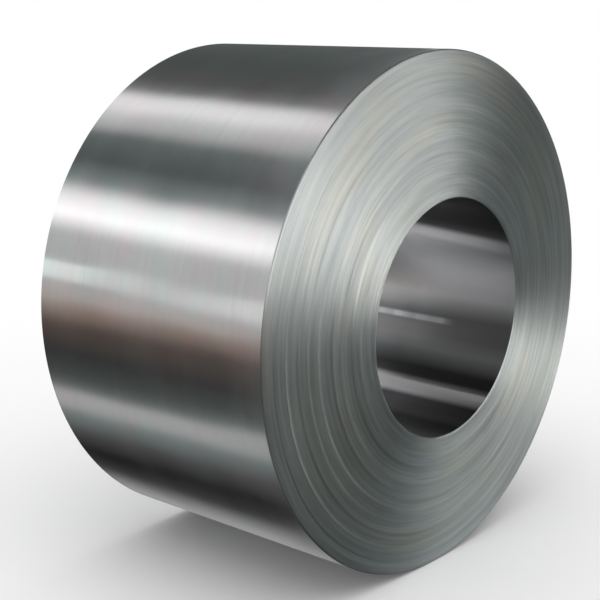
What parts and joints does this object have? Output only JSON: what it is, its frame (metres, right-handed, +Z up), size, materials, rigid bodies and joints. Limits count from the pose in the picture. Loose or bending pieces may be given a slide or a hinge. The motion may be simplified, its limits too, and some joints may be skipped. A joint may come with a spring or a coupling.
{
  "type": "titanium foil coil",
  "caption": "Tightly wound coil of bright rolled metal foil lying on its side, with an open bore and its turns showing on both ends.",
  "frame": {"origin": "on the floor, below the middle of the coil, which is the middle of the underside of its bounding box", "axes": "+Z up; the coil's own axis lies along Y, and its front end, where the inner turns stand out, faces -Y"},
  "size_m": [0.6649, 0.396, 0.665],
  "materials": {
    "foil": "bright rolled"
  },
  "bodies": {
    "root": {"foil_coil": "foil"}
  },
  "joints": []
}
